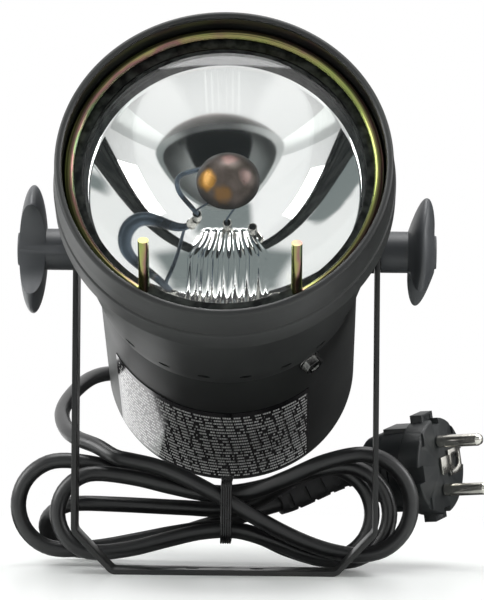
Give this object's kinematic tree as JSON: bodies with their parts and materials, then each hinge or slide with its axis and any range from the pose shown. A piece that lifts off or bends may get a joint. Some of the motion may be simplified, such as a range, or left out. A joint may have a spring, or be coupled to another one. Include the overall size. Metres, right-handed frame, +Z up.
{
  "type": "pinspot light",
  "caption": "Tilting round spotlight with a flared housing, sealed reflector lamp and U-shaped yoke, its mains lead and plug tied in a hank behind it.",
  "frame": {"origin": "middle of the underside of the yoke's foot, on the surface that the light stands on", "axes": "+Z up, the lamp looks towards -Y and 25.2 degrees upwards, +X to the right as seen from the front"},
  "size_m": [0.1824, 0.2464, 0.2067],
  "materials": {
    "black_coat": "satin black powder coat",
    "black_plastic": "moulded black plastic",
    "black_rubber": "matt black rubber",
    "black_cord": "satin black cord sheath",
    "yellow_zinc": "iridescent yellow zinc",
    "clear_glass": "clear glass",
    "mirror": "aluminised mirror",
    "bronze": "dark bronze",
    "nickel": "nickel plate",
    "dark_chrome": "dark chrome",
    "tungsten": "tungsten wire",
    "steel": "bare laminated steel",
    "amber_tape": "amber winding tape",
    "white_block": "white plastic",
    "white_wire": "white sleeve",
    "earth_wire": "green and yellow sleeve",
    "fibre": "black fibre",
    "label": "glossy black sticker with plain pale bars"
  },
  "bodies": {
    "yoke": {"yoke_bracket": "black_coat", "cord_lead": "black_cord", "cord_hank": "black_cord", "cord_tie": "black_plastic", "plug_body": "black_plastic", "plug_relief": "black_rubber", "plug_pin_1": "nickel", "plug_pin_2": "nickel", "plug_earth_plate": "nickel"},
    "head": {"front_housing": "black_coat", "rear_can": "black_coat", "lamp_ring": "yellow_zinc", "lamp_lens": "clear_glass", "lamp_reflector": "mirror", "ferrule_1": "nickel", "ferrule_2": "nickel", "ferrule_3": "nickel", "filament": "tungsten", "filament_post_1": "nickel", "filament_post_2": "nickel", "filament_cap": "bronze", "cap_strap": "nickel", "lamp_terminal_1": "nickel", "lamp_terminal_2": "nickel", "lamp_wire_1": "white_wire", "lamp_wire_2": "white_wire", "transformer_core": "steel", "transformer_coil": "amber_tape", "transformer_frame": "steel", "frame_screw_1": "nickel", "frame_screw_2": "nickel", "terminal_block": "white_block", "mains_tail": "black_cord", "earth_wire": "earth_wire", "earth_screw": "dark_chrome", "earth_nut": "nickel", "rating_label": "label", "cord_gland": "black_rubber", "gland_nut": "black_plastic", "pivot_spacer_left": "fibre", "pivot_spacer_right": "fibre", "pivot_nut_left": "nickel", "pivot_nut_right": "nickel"},
    "left_knob": {"knob_left": "black_plastic", "pivot_stud_left": "nickel"},
    "right_knob": {"knob_right": "black_plastic", "pivot_stud_right": "nickel"}
  },
  "joints": [
    {"name": "head_tilt", "type": "hinge", "parent": "yoke", "child": "head", "pos_m": [0, 0, 0.1205], "axis": [1, 0, 0], "range_deg": [-8, 70]},
    {"name": "left_knob_turn", "type": "hinge", "parent": "head", "child": "left_knob", "pos_m": [0, 0, 0.1205], "axis": [1, 0, 0], "range_deg": [-180, 180]},
    {"name": "right_knob_turn", "type": "hinge", "parent": "head", "child": "right_knob", "pos_m": [0, 0, 0.1205], "axis": [1, 0, 0], "range_deg": [-180, 180]}
  ]
}
